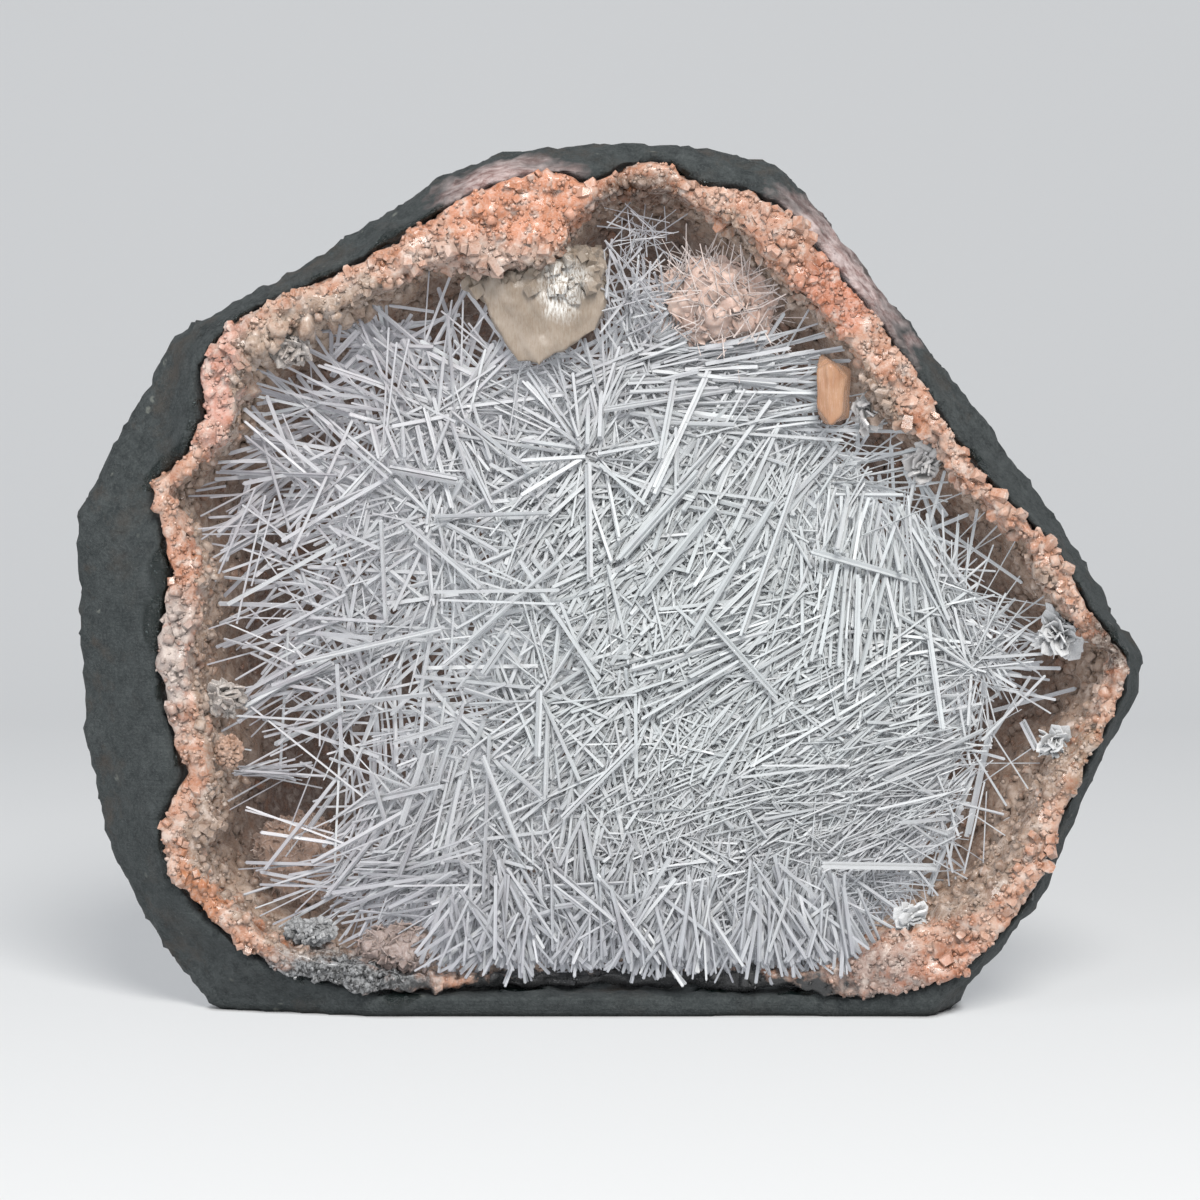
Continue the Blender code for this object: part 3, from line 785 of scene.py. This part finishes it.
def fringe(pile, rng):
    """The ragged lower edge, where the needles hang over the rim in blunt clumps."""
    for _ in range(90):
        px = rng.uniform(445, 850)
        py = rng.uniform(860, 925)
        lean = rng.gauss(0, 22)
        lowest = LOWEST_NEEDLE + 3.0 * noise.noise(Vector((px / 20.0, 3.0, 0.0))) + rng.uniform(-1.0, 3.0)
        y = rng.uniform(-45.5, -37.0)
        for _ in range(rng.randint(6, 12)):
            root = spot(px, py, y) + Vector((rng.gauss(0, 1.5), rng.gauss(0, 1.0), rng.gauss(0, 2)))
            angle = math.radians(-90 + lean + rng.gauss(0, 20))
            tilt = math.radians(rng.gauss(4, 12))
            direction = Vector((math.cos(angle), -math.sin(tilt), math.sin(angle))).normalized()
            length = min(17.0, (root.z - lowest - rng.uniform(0, 3)) / max(0.3, -direction.z))
            tip = root + direction * length
            if tip.y > FRONT_LIMIT and length > 3.0:
                bundle(pile, root, tip, rng.uniform(0.35, 1.1), rng)


rng = random.Random(7)
scolecite = needle_finish("scolecite", 0.3, 1.0)
# The needles behind carry painted shade: 0.55 of their colour away from the middle
scolecite_behind_shaded = needle_finish("scolecite_behind_shaded", 0.0, 0.55)
left = Pile()
right = Pile()
back = Pile()
# Left, top, right and bottom in the picture
LEFT_AREA = (190, 320, 640, 965)
RIGHT_AREA = (600, 320, 1010, 965)
WHOLE_AREA = (190, 320, 1010, 965)
for needle in NEEDLES:
    lay(left, needle, rng)
star(left, 449, 416, 22, 26, 0.85, rng)
star(left, 590, 452, 34, 26, 0.8, rng)
star(right, 975, 662, 26, 15, 0.5, rng)
star(right, 680, 485, 22, 22, 0.7, rng)
star(left, 430, 520, 16, 24, 0.9, rng)
star(left, 545, 700, 20, 24, 0.8, rng)
tangle(left, rng, 24000, LEFT_AREA, (1.5, 7.0), sparse_left, (18.0, 38.0), 4)
stream(left, rng, [flow for flow in FLOWS if flow.px < 600], 4, 1.1, 3)
fringe(right, rng)
tangle(right, rng, 60000, RIGHT_AREA, (1.5, 6.5), anywhere, (14.0, 34.0), 11)
stream(right, rng, [flow for flow in FLOWS if flow.px >= 600], 10, 1.1, 9)
tangle(back, rng, 34000, WHOLE_AREA, (7.0, 18.0), half_left, (16.0, 34.0), 11)
left.piece("needles_left", scolecite, "scolecite", "scolecite_thicket")
right.piece("needles_right", scolecite, "scolecite", "scolecite_thicket")
back.piece("needles_behind", scolecite_behind_shaded, "scolecite", "scolecite_thicket")


def in_ball(rng):
    while True:
        p = Vector((rng.uniform(-1, 1), rng.uniform(-1, 1), rng.uniform(-1, 1)))
        if p.length < 1.0:
            return p


def spray(name, centre, radii, count, width, seed, facing, stray, crossing, node=None):
    """Needles out of a middle round where the spray faces, and a share that cross it."""
    rng = random.Random(seed)
    pile = Pile()
    centre = Vector(centre)
    facing = Vector(facing).normalized()
    for _ in range(count):
        thick = width * rng.uniform(0.5, 1.5)
        if rng.random() < crossing:
            foot, tip = (
                centre + Vector(c * r for c, r in zip(in_ball(rng), radii)) for _ in range(2)
            )
            foot, tip = foot + (foot - tip) * 0.2, tip + (tip - foot) * 0.2
        else:
            direction = (facing + in_ball(rng) * stray).normalized()
            reach = 1 / math.sqrt(sum((d / r) ** 2 for d, r in zip(direction, radii)))
            foot = centre + in_ball(rng) * 1.2
            tip = foot + direction * reach * rng.uniform(0.5, 1.05)
        direction = (tip - foot).normalized()
        length = free_length(foot, direction, (tip - foot).length)
        end = foot + direction * length
        lowest = min(foot.z, end.z)
        if length > 2.5 and min(foot.y, end.y) > FRONT_LIMIT and lowest > LOWEST_NEEDLE:
            bundle(pile, foot, end, thick, rng)
    pile.piece(name, scolecite, "scolecite", node or "scolecite_" + name)


spray("spray_upper_left", (-42, -27, 125), (14, 12, 9), 70, 0.85, 11, (-0.3, -0.3, 0.6), 1.2, 0.5)
spray("spray_top", (6, -33, 146), (8, 9, 8), 44, 0.2, 12, (0, -0.5, -0.3), 1.5, 0.8)
spray("spray_by_mound", (4, -36, 135), (9, 8, 10), 60, 0.4, 17, (0.1, -0.5, -0.2), 1.6, 0.75,
      "scolecite_thicket")
spray("spray_left_wall", (-70, -33, 45), (17, 8, 8), 26, 0.4, 13, (1.0, -0.1, 0.1), 0.55, 0.15)
spray("spray_right_wall", (74, -20, 64), (11, 12, 14), 34, 0.45, 14, (0.2, -0.5, 0.2), 1.6, 0.3)
spray("spray_lower_left", (-31, -34, 27), (22, 8, 8), 60, 0.45, 15, (-1.0, -0.15, -0.25), 0.4, 0.15)

# Round the mouth: an angle, and how wide the salmon band of the rim is there, in millimetres
BANDS = [
    (-180, 6), (-150, 5), (-130, 4), (-118, 8), (-60, 8), (-48, 13), (-35, 5), (0, 4), (20, 5),
    (45, 7), (65, 9), (78, 5), (90, 3), (100, 16), (118, 16), (126, 3.5), (145, 6), (180, 6),
]
BAND_ANGLES, BAND_WIDTHS = zip(*BANDS)


def rim_share(place):
    """0 on the salmon band of the rim, 1 on the walls and the inner edge."""
    angle = math.degrees(math.atan2(place.z - AXIS_Z, place.x))
    band = float(np.interp(angle, BAND_ANGLES, BAND_WIDTHS))
    from_rock = rock_tree.find_nearest(place)[3]
    ragged = 2.0 * noise.noise(place / 4.0)
    return max(ramp(from_rock + ragged, band - 1.5, band + 1.5), ramp(place.y + ragged, -40.0, -34.0))


def rock_offset(place):
    """Relief of the rock: low on the sawn front, chipped on the broken back."""
    if place.z < SAWN_BELOW:
        return 0.0
    broad = noise.fractal(place / 9.0, 1.0, 2.0, 4)
    small = noise.fractal(place / 2.2, 0.7, 2.0, 3)
    near, second = noise.voronoi((place + 3.0 * noise.noise_vector(place / 6.0)) / 9.0)[0][:2]
    chips = min(0.35, second - near) - 0.2
    share = 0.25 + 0.75 * ramp(place.y, -42.0, -30.0)
    return share * (0.8 * broad + 0.5 * small - 2.6 * chips)


def crust_offset(place):
    """Relief of the crust: lumps, crystals and buds, which stop short of the rock."""
    if place.z < SAWN_BELOW:
        return 0.0
    lumps = noise.fractal(place / 6.0, 1.0, 2.0, 3)
    knobs = 0.45 - noise.voronoi(place / 3.8)[0][0]
    buds = 0.45 - noise.voronoi(place / 2.2)[0][0]
    fine = noise.fractal(place / 1.3, 1.0, 2.0, 2)
    offset = 1.4 * lumps + 1.6 * knobs + 1.0 * buds + 0.4 * fine - 0.3
    return min(offset, rock_tree.find_nearest(place)[3] - 0.12)


def by_crust(place):
    """1 on the front of the rock next to the crust, 0 away from it."""
    far = crust_tree.find_nearest(place)[3]
    left_top = 3.0 if place.x < -12.0 and place.z > 60.0 else 0.0
    reach = max(0.05, left_top - 0.5 + 8.0 * noise.noise(place / 9.0))
    return ramp(far, reach, reach * 0.4) * ramp(place.y, -33.0, -38.0)


ROCK_VOXEL = 1.75
CRUST_VOXEL = 1.2
rock_mesh = fine_copy("basalt_shell", ROCK_VOXEL, rock_offset)
mark(rock_mesh, by_crust)
piece_of("basalt_rock", rock_mesh, basalt_finish(), "basalt_shell", True)
crust_mesh = fine_copy("heulandite_crust", CRUST_VOXEL, crust_offset)
mark(crust_mesh, rim_share)
crust_finish = heulandite_finish("heulandite_crust")
piece_of("crust_body", crust_mesh, crust_finish, "heulandite_crust", True)


def grain(pile, centre, axis, size, length, value, rng):
    """A stubby crystal of four sides with a ridged roof."""
    side, other = spin(axis, rng)
    a = side * (size * 0.5)
    b = other * (size * rng.uniform(0.3, 0.5))
    foot = centre - axis * length * 0.5
    top = centre + axis * length * rng.uniform(0.15, 0.4)
    ridge = centre + axis * length * 0.5
    lean = b * rng.uniform(-0.4, 0.4)
    corners = [a + b, b - a, -a - b, a - b]
    verts = [foot + c * 0.8 for c in corners] + [top + c for c in corners]
    verts += [ridge + a * 0.55 + lean, ridge - a * 0.55 + lean]
    faces = [(3, 2, 1, 0), (0, 1, 5, 4), (1, 2, 6, 5), (2, 3, 7, 6), (3, 0, 4, 7),
             (4, 5, 9, 8), (5, 6, 9), (6, 7, 8, 9), (7, 4, 8)]
    pile.add(verts, faces, [(value, 0.0, 0.0)] * len(verts))


COFFIN = [(1.0, 0.0), (0.55, 0.62), (-0.35, 0.62), (-1.0, 0.15), (-0.6, -0.6), (0.5, -0.62)]


def tablet(pile, centre, length_along, size, thickness, rng):
    """A tablet of heulandite: a coffin-shaped outline with one bevelled face."""
    axis, other = spin(length_along, rng)
    outer = []
    for x, z in COFFIN:
        outer.append(centre + length_along * (x * size) + other * (z * size * rng.uniform(0.8, 1.1)))
    verts = [p - axis * thickness / 2 for p in outer] + [p + axis * thickness * 0.2 for p in outer]
    verts += [centre + (p - centre) * 0.72 + axis * thickness * 0.5 for p in outer]
    n = len(COFFIN)
    faces = [tuple(range(n)), tuple(reversed(range(2 * n, 3 * n)))]
    for layer in (0, n):
        for i in range(n):
            j = (i + 1) % n
            faces.append((layer + j, layer + i, layer + n + i, layer + n + j))
    pile.add(verts, faces, [(0.0, 0.0, 0.0)] * len(verts))


def scatter(mesh, count, wanted, rng):
    """Random places on a mesh, with their normals, where wanted(place, normal) holds."""
    mesh.calc_loop_triangles()
    places = [v.co / MM for v in mesh.vertices]
    triangles = [tuple(t.vertices) for t in mesh.loop_triangles]
    normals = [t.normal.copy() for t in mesh.loop_triangles]
    weights = [t.area * wanted(places[t.vertices[0]], t.normal) for t in mesh.loop_triangles]
    found = []
    for index in rng.choices(range(len(triangles)), weights=weights, k=count):
        a, b, c = (places[i] for i in triangles[index])
        u, v = rng.random(), rng.random()
        if u + v > 1:
            u, v = 1 - u, 1 - v
        found.append((a + (b - a) * u + (c - a) * v, normals[index]))
    return found


def leaning(normal, tilt, rng):
    """A direction near a surface's normal."""
    off = Vector((rng.gauss(0, tilt), rng.gauss(0, tilt), rng.gauss(0, tilt)))
    return (normal + off).normalized()


def strewn(pile, mesh, count, wanted, sizes, rng, tilt, slim=(0.9, 1.6)):
    """Grains grown on a mesh where wanted, standing more or less upright on it."""
    for place, normal in scatter(mesh, count, wanted, rng):
        axis = leaning(normal, tilt, rng)
        if mesh is crust_mesh and rock_tree.ray_cast(place, normal, 5.0)[0] is not None:
            continue
        size = sizes[0] + (sizes[1] - sizes[0]) * rng.random() ** 2
        value = rim_share(place) if mesh is crust_mesh else 0.0
        grain(pile, place + axis * size * 0.1, axis, size, size * rng.uniform(*slim), value, rng)


def on_rim(place, normal):
    """The front of the crust, with fewer grains under the needles' fringe."""
    bottom = place.z < 13.0 and -38.0 < place.x < 44.0
    share = 0.25 if bottom else 1.0
    return share if place.y < -29.0 and normal.y < -0.3 and place.z > 2.0 else 0.0


def on_wall(place, normal):
    """The inside of the crust, where it faces the hollow."""
    inward = Vector((-place.x, 0.0, AXIS_Z - place.z))
    return place.y < -4.0 and normal.dot(inward) > 0 and place.z > 2.0


def around(px, py, y, radii):
    """A test for the places of a surface inside an ellipsoid round a place in the picture."""
    centre = spot(px, py, y)

    def test(place, normal):
        off = place - centre
        near = sum((o / r) ** 2 for o, r in zip(off, radii)) < 1.0
        return near and normal.y < 0.2

    return test


# Where larger crystals crowd on the rim: px, py, depth and radii
TOOTH_CLUSTERS = [
    (450, 262, -44, (9, 9, 4)), (530, 262, -42, (10, 10, 4)), (765, 235, -42, (9, 12, 6)),
    (815, 250, -43, (5, 12, 8)), (1058, 570, -44, (5, 9, 7)), (232, 345, -44, (4, 8, 6)),
    (985, 500, -43, (8, 10, 8)), (1050, 850, -43, (6, 10, 8)), (975, 950, -44, (9, 9, 5)),
    (880, 420, -43, (8, 10, 9)), (215, 800, -44, (5, 8, 9)),
]
UPPER_LEFT_WALL = (320, 360, -36, (20, 16, 12))

crystal_finish = heulandite_finish("heulandite_grains", each=0.22)
rim = Pile()
teeth = Pile()
strewn(teeth, crust_mesh, 700, on_rim, (0.8, 1.9), rng, 0.6, (1.0, 1.8))
strewn(rim, crust_mesh, 4200, on_rim, (0.35, 0.9), rng, 0.6)
for cluster in TOOTH_CLUSTERS:
    strewn(teeth, crust_mesh, 26, around(*cluster), (1.0, 2.6), rng, 0.45, (1.2, 2.2))
rim.piece("rim_crystals", crystal_finish, "heulandite", "heulandite_crust", True)
teeth.piece("rim_teeth", crystal_finish, "heulandite", "heulandite_crust")
wall = Pile()
strewn(wall, crust_mesh, 2400, on_wall, (0.8, 2.2), rng, 0.5)
strewn(wall, crust_mesh, 260, around(*UPPER_LEFT_WALL), (1.2, 3.0), rng, 0.6, (1.5, 3.0))
wall.piece("wall_crystals", crystal_finish, "heulandite", "heulandite_crust", True)


Hairs = namedtuple("Hairs", "finish count lengths width tilt")


def grow_hairs(pile, mesh, hairs, rng):
    """Hair-fine needles on a mesh, leaning every way."""
    for place, normal in scatter(mesh, hairs.count, anywhere, rng):
        axis = leaning(normal, hairs.tilt, rng)
        length = rng.uniform(*hairs.lengths)
        back = length * rng.uniform(0.1, 0.5) * (1.0 - max(0.0, axis.dot(normal)))
        foot = place + normal * 0.2 - axis * (back + 0.3)
        tip = place + axis * length
        prism(pile, foot, tip, hairs.width * rng.uniform(0.6, 1.4), rng, 1.0, 3)


def mound_offset(place):
    broad = noise.noise(place / 8.0)
    lumps = noise.fractal(place / 4.0, 1.0, 2.0, 4)
    buds = 0.4 - noise.voronoi(place / 2.0)[0][0]
    return 2.2 * broad + 1.3 * lumps + 0.8 * buds - 0.3


def mound(name, finish, voxel, seed, hairs):
    """A mound of heulandite: a lumpy body with small plates and hairs on it."""
    rng = random.Random(seed)
    node = "heulandite_" + name
    mesh = fine_copy(node, voxel, mound_offset)
    piece_of(name, mesh, finish, node, True)
    plates = Pile()
    for place, normal in scatter(mesh, 260, anywhere, rng):
        along = (normal + in_ball(rng) * 1.5).normalized()
        tablet(plates, place, along, rng.uniform(0.6, 1.7), 0.3, rng)
    plates.piece(name + "_plates", finish, "heulandite", node)
    hair = Pile()
    grow_hairs(hair, mesh, hairs, rng)
    hair.piece(name + "_hairs", hairs.finish, "heulandite", node)


pink = pale_finish("pink_heulandite", (0.60, 0.38, 0.30), (0.78, 0.57, 0.47), 0.4, 0.4)
tan = pale_finish("tan_heulandite", (0.28, 0.16, 0.11), (0.42, 0.28, 0.21), 0.4, 0.3)
rosy = pale_finish("rosy_heulandite", (0.30, 0.22, 0.19), (0.46, 0.35, 0.31), 0.4, 0.4)
pink_hair = pale_finish("pink_hair", (0.74, 0.58, 0.52), (0.88, 0.76, 0.70), 0.3, 0.7, 0.1, 0.6)
tan_hair = pale_finish("tan_hair", (0.40, 0.28, 0.22), (0.56, 0.43, 0.36), 0.3, 0.3, 0.1, 0.6)
mound("mound_top_right", pink, 0.55, 21, Hairs(pink_hair, 520, (3.0, 9.5), 0.2, 2.2))
mound("mound_lower_left", tan, 0.6, 22, Hairs(tan_hair, 700, (0.7, 1.8), 0.14, 0.9))
mound("lobe_lower_left", rosy, 0.6, 23, Hairs(tan_hair, 420, (0.6, 1.4), 0.14, 0.9))


def rosette(name, finish, count, size, thickness, seed, standing):
    """A clump of tablets that stand out from its centre."""
    rng = random.Random(seed)
    node = "heulandite_" + name
    low, high = (Vector(corner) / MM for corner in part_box(node))
    centre = (low + high) / 2
    radii = (high - low) / 2
    pile = Pile()
    for _ in range(count):
        direction = Vector((rng.gauss(0, 1), rng.gauss(-0.5, 1), rng.gauss(0, 1))).normalized()
        off = in_ball(rng) * 2.0 * (1 - standing)
        along = (direction + off).normalized()
        reach = Vector(r * d for r, d in zip(radii, direction))
        own = size * rng.uniform(0.6, 1.25)
        tablet(pile, centre + reach * rng.uniform(0.3, 0.75), along, own,
               thickness * rng.uniform(0.6, 1.5), rng)
    pile.piece(name, finish, "pale_heulandite", node)


pearl = pale_finish("white_pearly", (0.78, 0.77, 0.76), (0.90, 0.90, 0.89), 0.3, clear=0.1)
clear = pale_finish("clear_pale", (0.68, 0.63, 0.60), (0.84, 0.81, 0.78), 0.2, clear=0.1)
blush = pale_finish("blush_pale", (0.54, 0.44, 0.38), (0.74, 0.67, 0.61), 0.25, clear=0.15)
ball = pale_finish("salmon_ball", (0.44, 0.24, 0.15), (0.60, 0.40, 0.30), 0.4, 0.3, size=0.7)
frosty = pale_finish("frosty_druse", (0.06, 0.06, 0.06), (0.50, 0.50, 0.50), 0.4, size=0.5)
# Name, finish, how many tablets, their size and thickness, seed, and how straight they stand out
ROSETTES = [
    ("cluster_upper_left", blush, 90, 1.9, 0.5, 27, 0.5),
    ("cluster_by_blade", clear, 90, 1.5, 0.45, 28, 0.4),
    ("cluster_right", clear, 60, 2.2, 0.6, 29, 0.5),
    ("rosette_right", pearl, 70, 2.8, 0.3, 30, 0.9),
    ("rosette_lower_right", pearl, 50, 2.0, 0.3, 31, 0.8),
    ("pearl_lower_right", pearl, 34, 2.0, 0.5, 32, 0.6),
    ("ledge_left", blush, 110, 1.7, 0.6, 25, 0.5),
    ("ball_left", ball, 260, 0.9, 0.8, 26, 0.9),
    ("druse_lower_left", frosty, 420, 1.0, 0.6, 24, 0.6),
]
for clump in ROSETTES:
    rosette(*clump)


def satin_offset(place):
    lumps = noise.fractal(place / 6.0, 1.0, 2.0, 3)
    upper = ramp(place.z, 131.0, 138.0)
    blocks = 0.42 - noise.voronoi(place / 3.0)[0][0]
    steps = noise.noise(Vector((place.x * 0.5 + place.z * 0.3, place.y * 0.2, place.z * 0.1)))
    return 0.5 * lumps + upper * 2.0 * blocks + 0.35 * steps


def satin_finish():
    f = Finish("satin_crystal")
    broad = f.noise(4.5, 4.0, 0.6)
    silk = f.noise(0.5, 3.0, 0.65, stretch=(1.4, 1.0, 0.35))
    f.colour = f.mix(f.range(broad, 0.3, 0.7), (0.29, 0.22, 0.16), (0.42, 0.34, 0.27))
    f.paint(f.range(silk, 0.45, 0.75, 0.0, 0.4), (0.50, 0.45, 0.37))
    # Painted highlight: a bright satin patch at one place on the crystal
    painted_highlight = f.near(spot(562, 290, -42.0), (4.0, 8.0, 5.4))
    painted_highlight = f.times(painted_highlight, f.range(silk, 0.38, 0.6))
    f.paint(painted_highlight, (0.92, 0.89, 0.83))
    return f.done({
        "Roughness": f.range(silk, 0.3, 0.7, 0.22, 0.42),
        "Normal": f.bump(f.math("ADD", silk, broad), 0.14, 0.5),
        "IOR": 1.5,
    })


satin = satin_finish()
crystal_mesh = fine_copy("pale_crystal", 0.5, satin_offset)
piece_of("pale_crystal_body", crystal_mesh, satin, "pale_crystal", True)
knobs = Pile()
strewn(knobs, crystal_mesh, 110, lambda place, normal: place.z > 135.0, (1.2, 3.0), rng, 0.7)
knobs.piece("pale_crystal_knobs", satin, "pale_heulandite", "pale_crystal")


def blade_offset(place):
    return 0.3 * noise.fractal(Vector((place.x, place.y, place.z * 0.3)) / 2.0, 1.0, 2.0, 3)


honey = pale_finish("honey", (0.48, 0.23, 0.12), (0.62, 0.37, 0.23), 0.25, 0.12, 0.1, 1.0,
                    (1.6, 1.0, 0.2))
blade_mesh = fine_copy("stilbite_blade", 0.4, blade_offset)
piece_of("blade_body", blade_mesh, honey, "stilbite_blade", True)


def stage():
    """A pale floor that turns up behind the part."""
    width, front_edge, bend, back, height = 4.0, -3.0, 0.9, 1.5, 2.4
    profile = [(front_edge, 0.0)]
    for t in np.linspace(0.0, math.pi / 2, 24):
        profile.append((bend * math.sin(t) + back - bend, bend * (1 - math.cos(t))))
    profile.append((back, height))
    verts = []
    for y, z in profile:
        verts += [(-width, y, z), (width, y, z)]
    faces = [(2 * i, 2 * i + 1, 2 * i + 3, 2 * i + 2) for i in range(len(profile) - 1)]
    mesh = bpy.data.meshes.new("floor")
    mesh.from_pydata(verts, [], faces)
    mesh.polygons.foreach_set("use_smooth", [True] * len(mesh.polygons))
    floor = bpy.data.objects.new("floor", mesh)
    bpy.context.scene.collection.objects.link(floor)
    f = Finish("pale_floor")
    f.colour = (0.80, 0.80, 0.79)
    mesh.materials.append(f.done({"Roughness": 0.85}))


def area_light(name, place, size, power, colour):
    data = bpy.data.lights.new(name, "AREA")
    data.shape = "DISK"
    data.size = size
    data.energy = power
    data.color = colour
    light = bpy.data.objects.new(name, data)
    light.location = place
    aim = Vector((0.0, 0.0, 0.07)) - Vector(place)
    light.rotation_euler = aim.to_track_quat("-Z", "Y").to_euler()
    bpy.context.scene.collection.objects.link(light)


stage()
area_light("key", (0.18, -1.05, 0.85), 0.5, 12.0, (1.0, 0.99, 0.97))
area_light("fill", (-0.9, -0.9, 0.4), 0.9, 4.0, (0.92, 0.95, 1.0))
world = bpy.data.worlds.new("studio")
world.use_nodes = True
background = world.node_tree.nodes["Background"].inputs
background["Color"].default_value = (0.92, 0.95, 1.0, 1.0)
background["Strength"].default_value = 0.5
scene = bpy.context.scene
scene.world = world
scene.view_settings.view_transform = "Standard"
world.light_settings.ao_factor = 1.2
world.light_settings.distance = 1.8 * MM
cycles = scene.cycles
cycles.use_fast_gi = True
cycles.fast_gi_method = "REPLACE"
cycles.ao_bounces_render = 1
cycles.max_bounces = 5
cycles.diffuse_bounces = 2
cycles.glossy_bounces = 1
cycles.transmission_bounces = 5
cycles.adaptive_threshold = 0.1
cycles.debug_use_spatial_splits = True

camera_data = bpy.data.cameras.new("camera")
camera_data.lens = LENS
camera_data.sensor_width = SENSOR
camera = bpy.data.objects.new("camera", camera_data)
camera.location = CAMERA_PLACE * MM
camera.rotation_euler = (AIM - CAMERA_PLACE).to_track_quat("-Z", "Y").to_euler()
scene.collection.objects.link(camera)
scene.camera = camera
